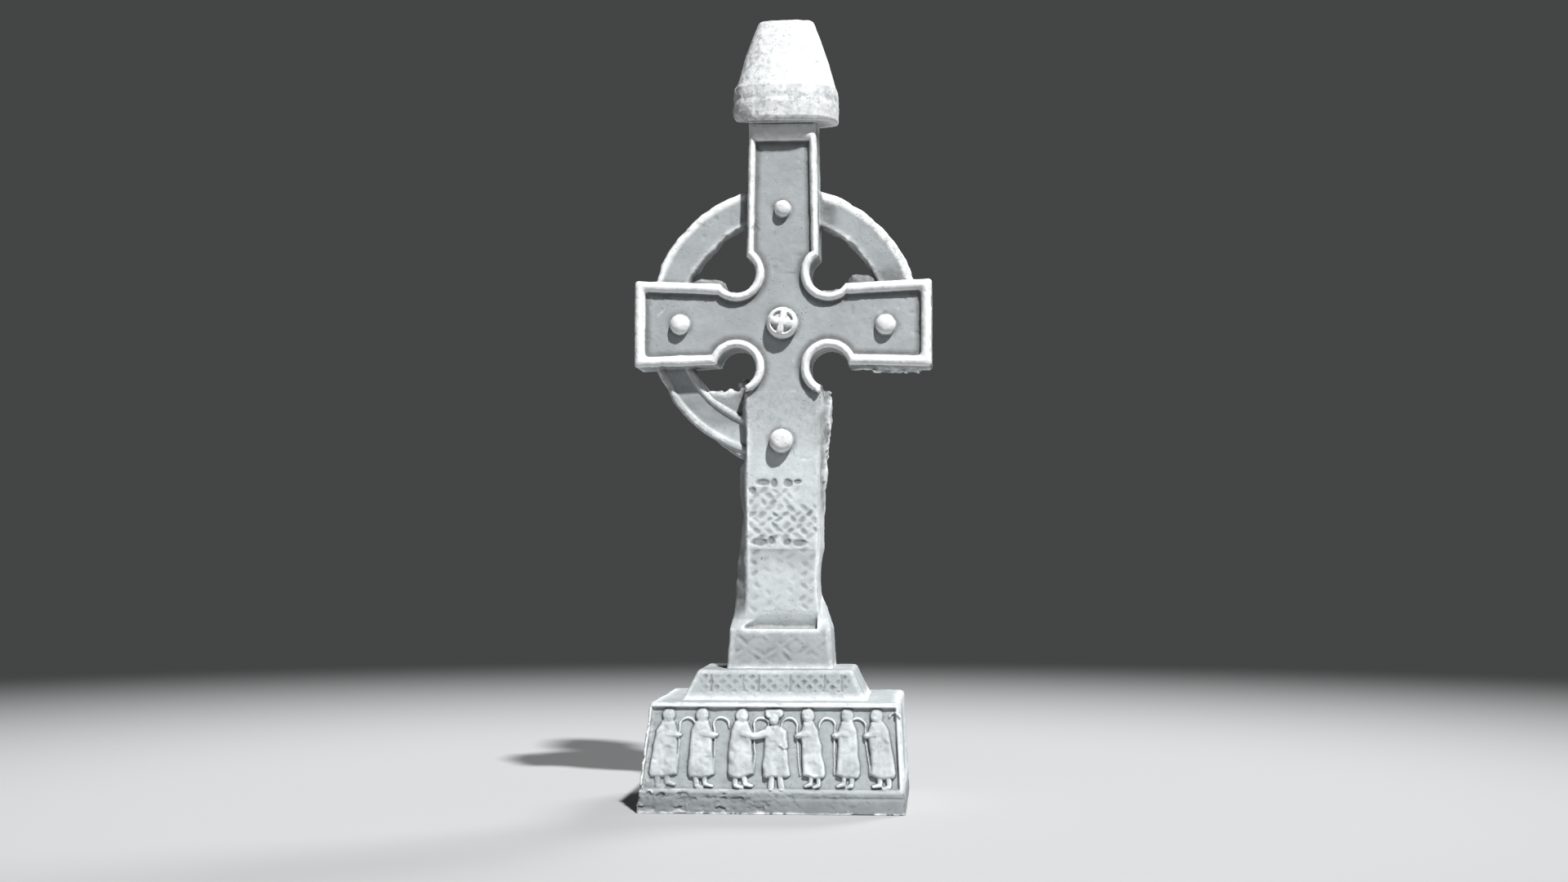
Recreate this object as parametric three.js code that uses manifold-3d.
// A ringed stone cross with a conical capstone, standing on a stepped plinth carved with robed figures.
// Millimetres, +Z up. The front faces -Y and the origin is the middle of the underside.

import * as THREE from 'three';
import { mergeVertices } from 'three/addons/utils/BufferGeometryUtils.js';
import Module from 'manifold-3d';

const wasm = await Module();
wasm.setup();

// Driving dimensions: plinth and step
const plinth = {
  height: 415,
  bottomLeft: -536,
  bottomRight: 488,
  topLeft: -489,
  topRight: 468,
  bottomDepth: 850,
  topDepth: 756,
  panelSink: 18,
  panelLow: 89,
  panelHigh: 404,
  panelSide: 16,
  sidePanelEnd: 60,
};
const step = {
  top: 530,
  shift: -22,
  bottomHalf: 355,
  topHalf: 300,
  bottomDepth: 524,
  topDepth: 430,
  compartments: 8,
  bandLow: 38,
  bandMargin: 7,
  groove: 7,
  grooveDepth: 4,
};

// Driving dimensions: the row of robed figures
// Shifts move each figure off the even spacing.
// Robe levels give a share of the height, a half width and a depth.
const figures = {
  first: -428,
  pitch: 138,
  shifts: [-13, -12, 10, 0, -3, -2, -15],
  base: 92,
  height: 305,
  bedding: 5,
  robe: [[0.15, 43, 16], [0.45, 39, 22], [0.68, 40, 23], [0.78, 36, 20], [0.84, 14, 13]],
  robeSides: 5,
  head: 19,
  headLift: 0.905,
  headLong: 1.5,
  headTurn: 3,
  hair: 34,
  hands: 16,
  handLift: 0.62,
  footHeight: 0.16,
  footHalf: 12,
  footGap: 17,
  stepLength: 20,
  staff: 47,
  staffHalf: 4.5,
  staffDepth: 9,
  staffLow: 0.17,
  staffHigh: 0.8,
  crook: 18,
  crookTurns: 4,
};

// Driving dimensions: foot and shaft, as a stack of eight-sided sections
// Each level gives its height, the half width and half depth of its front face, how far its left and right
// flanks reach, the half depth of the flanks, and how far the section stands to the right.
const shaftLevels = [
  { z: 530, face: 202, front: 146, left: 209, right: 209, side: 138, shift: -8 },
  { z: 683, face: 191, front: 140, left: 199, right: 199, side: 131, shift: -8 },
  { z: 722, face: 160, front: 103, left: 194, right: 186, side: 82, shift: -5 },
  { z: 752, face: 146, front: 103, left: 188, right: 168, side: 66, shift: 0 },
  { z: 900, face: 144, front: 103, left: 180, right: 154, side: 62, shift: 0 },
  { z: 1300, face: 143, front: 103, left: 172, right: 160, side: 60, shift: 0 },
  { z: 1560, face: 144, front: 103, left: 166, right: 164, side: 66, shift: 0 },
  { z: 1640, face: 146, front: 103, left: 150, right: 150, side: 95, shift: 0 },
];
// The scooped band over the foot: its depths from the middle at its sill and at its top, and its ends.
const scoop = { low: 686, high: 750, sill: 84, face: 103, lowLeft: -172, highLeft: -130, right: 137 };
const knotPanel = { low: 996, high: 1270, half: 128, sink: 10, columns: 5, rows: 6, strand: 20, rise: 5 };
const pitPanel = { low: 752, high: 985, half: 116, columns: 5, rows: 5, size: 28, depth: 5 };
const footLattice = { low: 546, high: 670, half: 176, columns: 4, groove: 9, depth: 4 };

// Driving dimensions: head, ring and bosses
const head = {
  low: 1600,
  top: 2685,
  neckHalf: 150,
  topHalf: 133,
  reach: 588,
  armLow: 1727,
  armHigh: 2044,
  armFlare: 14,
  hollowX: 183,
  hollowHigh: 2089,
  hollowLow: 1715,
  hollowRadius: 78,
  front: 135,
  panel: 103,
  rim: { upright: 28, arm: 42, hollow: 33, end: 42, top: 70 },
  rimBreak: 1621,
  roll: 12,
  arcSteps: 3,
  bossBedding: 8,
  bossFullness: 0.6,
  bossSteps: 3,
};
const ring = {
  centre: 1900,
  inner: 403,
  innerStrip: 432,
  outerStrip: 520,
  outer: 544,
  edge: 52,
  face: 41,
  slope: 6,
  segments: 44,
  breakX: 174,
  breakZ: 1702,
  breakSteps: 13,
  breakDepth: 10,
};
// The rough web of stone left between the ring and the shaft, low on the left
const web = { left: -318, right: -140, top: 1628, low: 1510, lowLeft: -196, half: 32, steps: 9, depth: 9 };
const bosses = [
  { x: 0, z: 1891, radius: 60, height: 66, sides: 18 },
  { x: -408, z: 1888, radius: 40, height: 42, sides: 11 },
  { x: 408, z: 1882, radius: 40, height: 42, sides: 11 },
  { x: 0, z: 2344, radius: 33, height: 36, sides: 12 },
  { x: -4, z: 1425, radius: 46, height: 56, sides: 12 },
];
const backBosses = 4;
const bossCups = { count: 4, ring: 30, radius: 16, sink: 7 };

// Driving dimensions: capstone, as heights above its underside and half widths of a rounded square plan
const cap = {
  bottom: 2685,
  shift: 8,
  sides: 20,
  squareness: 2.9,
  depthShare: 0.95,
  undercut: 0.15,
  levels: [
    [0, 188], [6, 202], [18, 211], [84, 213], [92, 206], [101, 213], [142, 211], [154, 203],
    [196, 190], [261, 173], [355, 140], [408, 117], [426, 104], [436, 86],
  ],
};

// Materials: one pale grey stone, slightly different in each block
const stone = (colour) => new THREE.MeshStandardMaterial({ color: colour, roughness: 0.92, metalness: 0 });
const plinthStone = stone(0xbfc6c7);
const crossStone = stone(0xc6cdce);
const capStone = stone(0xd2d7d6);

// A closed geometry becomes a solid with its shared points merged and its faces turned outward.
const mergeDistance = 1e-3;
function solid(geometry) {
  const bare = new THREE.BufferGeometry();
  bare.setAttribute('position', geometry.getAttribute('position'));
  bare.setIndex(geometry.getIndex());
  const merged = mergeVertices(bare, mergeDistance);
  const index = merged.getIndex().array;
  const faces = [];
  for (let i = 0; i < index.length; i += 3) {
    const [a, b, c] = [index[i], index[i + 1], index[i + 2]];
    if (a !== b && b !== c && c !== a) faces.push(a, b, c);
  }
  const build = (triangles) => new wasm.Manifold(new wasm.Mesh({
    numProp: 3,
    vertProperties: Float32Array.from(merged.getAttribute('position').array),
    triVerts: Uint32Array.from(triangles),
  }));
  const made = build(faces);
  return made.volume() > 0 ? made : build(faces.reverse());
}

function joined(solids) {
  return solids.reduce((whole, one) => whole.add(one));
}

function stoneMesh(name, body, material) {
  const { vertProperties, triVerts } = body.getMesh();
  const geometry = new THREE.BufferGeometry();
  geometry.setAttribute('position', new THREE.BufferAttribute(vertProperties, 3));
  geometry.setIndex(new THREE.BufferAttribute(triVerts, 1));
  geometry.computeVertexNormals();
  const mesh = new THREE.Mesh(geometry, material);
  mesh.name = name;
  return mesh;
}

// A closed skin through rings of points, with a fan over the first and last ring.
function loft(rings) {
  const count = rings[0].length;
  const points = rings.flat();
  const faces = [];
  for (let level = 0; level < rings.length - 1; level += 1) {
    for (let i = 0; i < count; i += 1) {
      const a = level * count + i;
      const b = level * count + ((i + 1) % count);
      faces.push(a, b, b + count, a, b + count, a + count);
    }
  }
  const last = (rings.length - 1) * count;
  for (let i = 1; i < count - 1; i += 1) {
    faces.push(0, i + 1, i);
    faces.push(last, last + i, last + i + 1);
  }
  const geometry = new THREE.BufferGeometry().setFromPoints(points);
  geometry.setIndex(faces);
  return geometry;
}

// Face frames: carving is drawn with x across a face, y up it and z out of it, then set on that face.
function faceFrame(base, across, up) {
  const out = new THREE.Vector3().crossVectors(across, up);
  return new THREE.Matrix4().makeBasis(across, up, out).setPosition(base);
}

function frontFrame(depth) {
  return faceFrame(new THREE.Vector3(0, -depth, 0), new THREE.Vector3(1, 0, 0), new THREE.Vector3(0, 0, 1));
}

function backFrame(depth) {
  return faceFrame(new THREE.Vector3(0, depth, 0), new THREE.Vector3(-1, 0, 0), new THREE.Vector3(0, 0, 1));
}

// The leaning front of a block whose front runs from one depth at its foot to a lesser one at its top.
function batteredFrame(low, high, lowDepth, highDepth, turn = 0) {
  const up = new THREE.Vector3(0, lowDepth - highDepth, high - low).normalize();
  const frame = faceFrame(new THREE.Vector3(0, -lowDepth, low), new THREE.Vector3(1, 0, 0), up);
  return new THREE.Matrix4().makeRotationZ(turn).multiply(frame);
}

function slab(points, low, high) {
  const thick = { depth: high - low, bevelEnabled: false };
  return new THREE.ExtrudeGeometry(new THREE.Shape(points), thick).translate(0, 0, low);
}

const point = (x, y) => new THREE.Vector2(x, y);
const point3 = (x, y, z) => new THREE.Vector3(x, y, z);
const mix = (a, b, share) => a + (b - a) * share;

// A shallow V cut from one point of a face to another, drawn from its bottom to well clear of the face.
function groove(x0, y0, x1, y1, width, depth) {
  const along = point(x1 - x0, y1 - y0).normalize();
  const side = point(-along.y, along.x).multiplyScalar(width);
  const section = (x, y) => [
    point3(x + side.x, y + side.y, depth),
    point3(x - side.x, y - side.y, depth),
    point3(x, y, -depth),
  ];
  return loft([section(x0, y0), section(x1, y1)]);
}

// Two crossed cuts in each of a row of compartments.
function crossedGrooves(half, low, high, columns, width, depth) {
  const cuts = [];
  const cell = (2 * half) / columns;
  for (let column = 0; column < columns; column += 1) {
    const left = -half + column * cell;
    cuts.push(groove(left, low, left + cell, high, width, depth));
    cuts.push(groove(left, high, left + cell, low, width, depth));
  }
  return cuts;
}

// A rough broken edge between two points, from a few waves of different lengths.
function brokenEdge(start, end, steps, depth) {
  const along = end.clone().sub(start).normalize();
  const side = point(-along.y, along.x);
  const edge = [];
  for (let i = 0; i <= steps; i += 1) {
    const t = i / steps;
    const wave = Math.sin(t * 11 + 0.6) + 0.6 * Math.sin(t * 23 + 2) + 0.4 * Math.sin(t * 41);
    edge.push(start.clone().lerp(end, t).addScaledVector(side, (depth * wave) / 2));
  }
  return edge;
}

// Plinth: a leaning four-sided block
function blockRing(left, right, depth, z) {
  return [
    point3(left, -depth / 2, z),
    point3(right, -depth / 2, z),
    point3(right, depth / 2, z),
    point3(left, depth / 2, z),
  ];
}

// One robed figure in relief, standing at x = 0 on y = 0.
// Stride is 1 for walking to the right, -1 to the left and 0 for facing out.
function robedFigure(stride) {
  const { height, bedding, head: headHalf, footGap, footHalf } = figures;
  const ringAt = ([share, half, depth]) => {
    const points = [];
    for (let i = 0; i <= figures.robeSides; i += 1) {
      const angle = (Math.PI * i) / figures.robeSides;
      points.push(point3(half * Math.cos(angle), share * height, depth * Math.sin(angle)));
    }
    points.push(point3(-half, share * height, -bedding));
    points.push(point3(half, share * height, -bedding));
    return points;
  };
  const headMiddle = figures.headLift * height;
  const skull = new THREE.SphereGeometry(headHalf, 8, 5).scale(1, figures.headLong, 1);
  skull.translate(stride * figures.headTurn, headMiddle, bedding);
  const parts = [loft(figures.robe.map(ringAt)), skull];
  for (const side of [-1, 1]) {
    const toe = figures.stepLength * (stride === 0 ? side * 0.7 : stride);
    const heel = side * footGap;
    const sole = (y, half) => [
      point3(heel - half, y, -bedding),
      point3(heel + half, y, -bedding),
      point3(heel + toe + half, y, footHalf),
      point3(heel + toe - half, y, footHalf),
    ];
    parts.push(loft([sole(0, footHalf), sole(figures.footHeight * height, footHalf * 0.8)]));
  }
  if (stride === 0) {
    const hair = new THREE.SphereGeometry(figures.hair, 8, 5).scale(1, 0.55, 0.5);
    const hands = new THREE.SphereGeometry(figures.hands, 8, 4).scale(1.3, 0.8, 0.8);
    parts.push(hair.translate(0, headMiddle + headHalf / 2, 0));
    parts.push(hands.translate(0, figures.handLift * height, headHalf));
    return parts;
  }
  return [...parts, ...crozier(stride)];
}

// A staff with an arched crook, and the forearm that holds it.
function crozier(stride) {
  const { height, bedding, staffHalf, staffDepth, crook } = figures;
  const staffX = stride * figures.staff;
  const square = (share) => [
    point3(staffX - staffHalf, share * height, -bedding),
    point3(staffX + staffHalf, share * height, -bedding),
    point3(staffX + staffHalf, share * height, staffDepth),
    point3(staffX - staffHalf, share * height, staffDepth),
  ];
  const staff = loft([square(figures.staffLow), square(figures.staffHigh)]);
  const arch = [];
  for (let i = 0; i <= figures.crookTurns; i += 1) {
    const angle = Math.PI * (1 - i / figures.crookTurns);
    const reach = (radius, out) => point3(
      staffX + stride * (crook + radius * Math.cos(angle)),
      figures.staffHigh * height - staffHalf + radius * Math.sin(angle),
      out,
    );
    const inside = crook - staffHalf;
    const outside = crook + staffHalf;
    arch.push([
      reach(inside, -bedding),
      reach(outside, -bedding),
      reach(outside, staffDepth),
      reach(inside, staffDepth),
    ]);
  }
  const sleeve = (x, lift, half) => [
    point3(x, lift * height - half, -bedding),
    point3(x, lift * height + half, -bedding),
    point3(x, lift * height + half * 0.6, figures.hands * 1.5),
    point3(x, lift * height - half * 0.6, figures.hands * 1.5),
  ];
  const elbow = sleeve(stride * staffHalf, figures.handLift, figures.hands);
  const wrist = sleeve(staffX + stride * staffHalf * 1.6, figures.handLift + 0.05, figures.hands * 0.6);
  return [staff, loft(arch), loft([elbow, wrist])];
}

function makePlinth() {
  const base = solid(loft([
    blockRing(plinth.bottomLeft, plinth.bottomRight, plinth.bottomDepth, 0),
    blockRing(plinth.topLeft, plinth.topRight, plinth.topDepth, plinth.height),
  ]));
  const stepRing = (half, depth, z) => blockRing(step.shift - half, step.shift + half, depth, z);
  const stepBlock = solid(loft([
    stepRing(step.bottomHalf, step.bottomDepth, plinth.height),
    stepRing(step.topHalf, step.topDepth, step.top),
  ]));

  const front = batteredFrame(0, plinth.height, plinth.bottomDepth / 2, plinth.topDepth / 2);
  const lean = (edge, level) => mix(plinth[`bottom${edge}`], plinth[`top${edge}`], level / plinth.height);
  const panelOutline = [
    point(lean('Left', plinth.panelLow) + plinth.panelSide, plinth.panelLow),
    point(lean('Right', plinth.panelLow) - plinth.panelSide, plinth.panelLow),
    point(lean('Right', plinth.panelHigh) - plinth.panelSide, plinth.panelHigh),
    point(lean('Left', plinth.panelHigh) + plinth.panelSide, plinth.panelHigh),
  ];
  const panel = slab(panelOutline, -plinth.panelSink, plinth.panelSink);
  let body = base.add(stepBlock).subtract(solid(panel.clone().applyMatrix4(front)));

  // The back has the same sunk panel left plain, and each side a narrower one.
  const back = new THREE.Matrix4().makeRotationZ(Math.PI).multiply(front);
  const mirrored = panel.clone().applyMatrix4(new THREE.Matrix4().makeScale(-1, 1, 1));
  body = body.subtract(solid(mirrored.applyMatrix4(back)));
  const sideHalf = plinth.topDepth / 2 - plinth.sidePanelEnd;
  const sideOutline = [
    point(-sideHalf, plinth.panelLow),
    point(sideHalf, plinth.panelLow),
    point(sideHalf, plinth.panelHigh),
    point(-sideHalf, plinth.panelHigh),
  ];
  const sidePanel = slab(sideOutline, -plinth.panelSink, plinth.panelSink);
  const leftSide = batteredFrame(0, plinth.height, -plinth.bottomLeft, -plinth.topLeft, -Math.PI / 2);
  const rightSide = batteredFrame(0, plinth.height, plinth.bottomRight, plinth.topRight, Math.PI / 2);
  for (const frame of [leftSide, rightSide]) {
    body = body.subtract(solid(sidePanel.clone().applyMatrix4(frame)));
  }

  const ground = front.clone().multiply(new THREE.Matrix4().makeTranslation(0, 0, -plinth.panelSink));
  const middle = (figures.shifts.length - 1) / 2;
  figures.shifts.forEach((shift, i) => {
    const across = figures.first + i * figures.pitch + shift;
    const place = new THREE.Matrix4().makeTranslation(across, figures.base, 0);
    const frame = ground.clone().multiply(place);
    const parts = robedFigure(Math.sign(middle - i));
    body = body.add(joined(parts.map((part) => solid(part.applyMatrix4(frame)))));
  });

  const stepFront = batteredFrame(plinth.height, step.top, step.bottomDepth / 2, step.topDepth / 2);
  stepFront.premultiply(new THREE.Matrix4().makeTranslation(step.shift, 0, 0));
  const stepTall = Math.hypot(step.top - plinth.height, (step.bottomDepth - step.topDepth) / 2);
  const { bandLow, bandMargin, compartments, groove: width, grooveDepth } = step;
  const bandHalf = step.topHalf - bandMargin;
  const cuts = crossedGrooves(bandHalf, bandLow, stepTall - bandMargin, compartments, width, grooveDepth);
  cuts.push(groove(-bandHalf, bandLow, bandHalf, bandLow, width, grooveDepth));
  return body.subtract(joined(cuts.map((cut) => solid(cut.applyMatrix4(stepFront)))));
}

const noInset = { upright: 0, arm: 0, hollow: 0, end: 0, top: 0 };

// Head outline from the neck up, around the hollows and the arms, to the top.
// The upright, arms, hollows, arm ends and top are each moved in by an amount of their own.
function headOutline(inset, low) {
  const neck = head.neckHalf - inset.upright;
  const radius = head.hollowRadius + inset.hollow;
  const neckRise = Math.sqrt(radius ** 2 - (head.hollowX - neck) ** 2);
  const reachOver = (gap) => Math.sqrt(radius ** 2 - gap ** 2);
  const lowGap = head.armLow + inset.arm - head.hollowLow;
  const highGap = head.armHigh - inset.arm - head.hollowHigh;
  const path = new THREE.Path();
  path.moveTo(neck, low);
  path.lineTo(neck, head.hollowLow - neckRise);
  path.absarc(
    head.hollowX,
    head.hollowLow,
    radius,
    Math.atan2(-neckRise, neck - head.hollowX) + 2 * Math.PI,
    Math.atan2(lowGap, reachOver(lowGap)),
    true,
  );
  path.lineTo(head.reach - inset.end, head.armLow + inset.arm);
  path.lineTo(head.reach - inset.end, head.armHigh + head.armFlare - inset.arm);
  path.absarc(
    head.hollowX,
    head.hollowHigh,
    radius,
    Math.atan2(highGap, reachOver(highGap)),
    Math.atan2(neckRise, neck - head.hollowX) - 2 * Math.PI,
    true,
  );
  path.lineTo(head.topHalf - inset.upright, head.top - inset.top);
  const right = path.getPoints(head.arcSteps);
  const left = right.map((p) => point(-p.x, p.y)).reverse();
  return [...right, ...left];
}

// The raised rim: a rolled band between the outline and the same outline moved in.
function rimBand(segments) {
  const outer = headOutline(noInset, head.rimBreak);
  const inner = headOutline(head.rim, head.rimBreak);
  const rise = head.front - head.panel;
  const geometry = new THREE.ExtrudeGeometry(new THREE.Shape([...outer, ...inner.reverse()]), {
    depth: rise,
    bevelThickness: head.roll,
    bevelSize: head.roll,
    bevelOffset: -head.roll,
    bevelSegments: segments,
  });
  return geometry.translate(0, 0, -head.roll);
}

function boss({ x, z, radius, height, sides }) {
  const { bossBedding, bossFullness, bossSteps } = head;
  const profile = [point(0, -bossBedding), point(radius, -bossBedding)];
  for (let i = 0; i < bossSteps; i += 1) {
    const angle = (Math.PI / 2) * (i / bossSteps);
    profile.push(point(radius * Math.cos(angle) ** bossFullness, height * Math.sin(angle)));
  }
  profile.push(point(0, height));
  return new THREE.LatheGeometry(profile, sides).rotateX(Math.PI / 2).translate(x, z, 0);
}

// What is left of the ring: a moulded hoop with its lower right quarter broken away.
function brokenRing() {
  const { inner, innerStrip, outerStrip, outer, edge, face, slope, breakX, breakZ } = ring;
  const frontHalf = [
    point(inner, -edge),
    point(innerStrip, -edge),
    point(innerStrip + slope, -face),
    point(outerStrip - slope, -face),
    point(outerStrip, -edge),
    point(outer, -edge),
  ];
  const backHalf = frontHalf.map((p) => point(p.x, -p.y)).reverse();
  const profile = [...frontHalf, ...backHalf, frontHalf[0].clone()];
  const hoop = solid(new THREE.LatheGeometry(profile, ring.segments).translate(0, 0, ring.centre));
  const far = 1.1 * outer;
  const low = ring.centre - far;
  const lost = [
    ...brokenEdge(point(breakX, low), point(breakX, breakZ), ring.breakSteps, ring.breakDepth),
    ...brokenEdge(point(breakX + edge, breakZ), point(far, breakZ), ring.breakSteps, ring.breakDepth),
    point(far, low),
  ];
  return hoop.subtract(solid(slab(lost, -2 * edge, 2 * edge).applyMatrix4(frontFrame(0))));
}

// Knotwork: strands that bounce between the panel's edges and pass over and under each other in turn.
// A cell is one unit; each straight run goes from edge to edge, and its height changes at every half unit.
function knotwork() {
  const { columns, rows, low, high, half, strand, rise, sink } = knotPanel;
  const bed = -1.4 * sink;
  const wide = (2 * half - strand) / columns;
  const tall = (high - low - strand) / rows;
  const across = (x) => -half + strand / 2 + x * wide;
  const upward = (y) => low + strand / 2 + y * tall;
  const runs = [];
  for (const slope of [1, -1]) {
    for (let start = 0.5 - rows; start < columns + rows; start += 1) {
      const inside = [];
      for (let k = 0; k <= 2 * columns; k += 1) {
        const x = k / 2;
        const y = slope > 0 ? x - start : start - x;
        if (y >= 0 && y <= rows) inside.push({ x, y, over: slope * Math.cos(2 * Math.PI * x) });
      }
      if (inside.length > 1) runs.push(inside);
    }
  }
  return runs.map((run) => {
    const first = point(across(run[0].x), upward(run[0].y));
    const last = point(across(run.at(-1).x), upward(run.at(-1).y));
    const along = last.clone().sub(first).normalize();
    const side = point(-along.y, along.x);
    return loft(run.map(({ x, y, over }, i) => {
      const atEdge = i === 0 || i === run.length - 1;
      const top = atEdge ? -rise / 2 : (over * rise) / 2 - rise / 2;
      const overrun = i === 0 ? -strand / 3 : strand / 3;
      const centre = point(across(x), upward(y)).addScaledVector(along, atEdge ? overrun : 0);
      const corner = (share, out) => point3(
        centre.x + side.x * strand * share,
        centre.y + side.y * strand * share,
        out,
      );
      return [corner(-0.6, bed), corner(0.6, bed), corner(0, top)];
    }));
  });
}

// Worn lattice below the knotwork: rows of shallow four-sided pits.
function latticePits() {
  const { low, high, half, columns, rows, size, depth } = pitPanel;
  const pits = [];
  for (let row = 0; row < rows; row += 1) {
    const shift = row % 2 === 0 ? 0.5 : 1;
    for (let column = 0; column + shift < columns; column += 1) {
      const x = mix(-half, half, (column + shift) / columns);
      const y = mix(low, high, (row + 0.5) / rows);
      const pit = new THREE.ConeGeometry(size, 2 * depth, 4).rotateX(-Math.PI / 2);
      pits.push(pit.translate(x, y, 0));
    }
  }
  return pits;
}

// The web left in the ring's lower left gap, with a jagged upper edge.
function ringWeb() {
  const top = brokenEdge(point(web.left, web.top), point(web.right, web.top), web.steps, web.depth);
  const outline = [point(web.lowLeft, web.low), ...top, point(web.right, web.low)];
  return solid(slab(outline, -web.half, web.half).applyMatrix4(frontFrame(0)));
}

// The scooped band between the foot and the shaft, open to the front.
function footScoop() {
  const clear = -2 * scoop.face;
  const end = (lowX, highX) => [
    point3(lowX, clear, scoop.low),
    point3(lowX, -scoop.sill, scoop.low),
    point3(highX, -scoop.face, scoop.high),
    point3(highX, clear, scoop.high),
  ];
  return solid(loft([end(scoop.lowLeft, scoop.highLeft), end(scoop.right, scoop.right)]));
}

function makeCross() {
  const section = ({ z, face, front, left, right, side, shift }) => [
    point3(shift - face, -front, z),
    point3(shift + face, -front, z),
    point3(shift + right, -side, z),
    point3(shift + right, side, z),
    point3(shift + face, front, z),
    point3(shift - face, front, z),
    point3(shift - left, side, z),
    point3(shift - left, -side, z),
  ];
  const shaft = solid(loft(shaftLevels.map(section)));
  const headPoints = headOutline(noInset, head.low);
  const headSlab = solid(slab(headPoints, -head.panel, head.panel).applyMatrix4(frontFrame(0)));
  const front = frontFrame(head.panel);
  const back = backFrame(head.panel);
  const onFront = (geometry) => solid(geometry.applyMatrix4(front));
  const onBack = (geometry) => solid(geometry.applyMatrix4(back));

  let body = joined([shaft, headSlab, brokenRing(), ringWeb(), onFront(rimBand(2)), onBack(rimBand(1))]);
  body = body.subtract(footScoop());
  for (const size of bosses) body = body.add(onFront(boss(size)));
  for (const size of bosses.slice(0, backBosses)) body = body.add(onBack(boss(size)));
  const crown = bosses[0];
  for (let i = 0; i < bossCups.count; i += 1) {
    const angle = Math.PI / 4 + (2 * Math.PI * i) / bossCups.count;
    const cup = new THREE.SphereGeometry(bossCups.radius, 8, 5).translate(
      crown.x + bossCups.ring * Math.cos(angle),
      crown.z + bossCups.ring * Math.sin(angle),
      crown.height - bossCups.sink,
    );
    body = body.subtract(onFront(cup));
  }

  const { low, high, half, sink } = knotPanel;
  const ground = [point(-half, low), point(half, low), point(half, high), point(-half, high)];
  body = body.subtract(onFront(slab(ground, -sink, sink)));
  body = body.add(joined(knotwork().map(onFront)));
  body = body.subtract(joined(latticePits().map(onFront)));

  const foot = shaftLevels[0];
  const footTop = shaftLevels[1];
  const footFront = batteredFrame(foot.z, footTop.z, foot.front, footTop.front);
  footFront.premultiply(new THREE.Matrix4().makeTranslation(foot.shift, 0, 0));
  const { groove: width, depth, columns } = footLattice;
  const cuts = crossedGrooves(
    footLattice.half,
    footLattice.low - foot.z,
    footLattice.high - foot.z,
    columns,
    width,
    depth,
  );
  return body.subtract(joined(cuts.map((cut) => solid(cut.applyMatrix4(footFront)))));
}

// Capstone: a blunt cone on a drum with a groove round it, on a rounded square plan.
// Its underside rests on the top arm and rises towards the back beside and behind it.
function makeCap() {
  const ringAt = ([rise, half]) => {
    const points = [];
    for (let i = 0; i < cap.sides; i += 1) {
      const angle = (2 * Math.PI * (i + 0.5)) / cap.sides;
      const bulge = (value) => Math.sign(value) * Math.abs(value) ** (2 / cap.squareness);
      points.push(point3(
        half * bulge(Math.cos(angle)),
        half * cap.depthShare * bulge(Math.sin(angle)),
        cap.bottom + rise,
      ));
    }
    return points;
  };
  const body = solid(loft(cap.levels.map(ringAt)));
  const start = -cap.levels[0][1];
  const far = -1.2 * start;
  const side = (x) => [
    point3(x, start, cap.bottom - 1),
    point3(x, far, cap.bottom - 1),
    point3(x, far, cap.bottom + cap.undercut * (far - start)),
    point3(x, start, cap.bottom),
  ];
  const seat = new THREE.BoxGeometry(2 * head.topHalf, 2 * head.front, far);
  const lost = solid(loft([side(-far), side(far)])).subtract(solid(seat.translate(0, 0, cap.bottom)));
  return body.translate(cap.shift, 0, 0).subtract(lost);
}

const memorial = new THREE.Group();
memorial.name = 'ringed_cross_memorial';
memorial.add(stoneMesh('plinth', makePlinth(), plinthStone));
memorial.add(stoneMesh('ringed_cross', makeCross(), crossStone));
memorial.add(stoneMesh('capstone', makeCap(), capStone));

export default memorial;
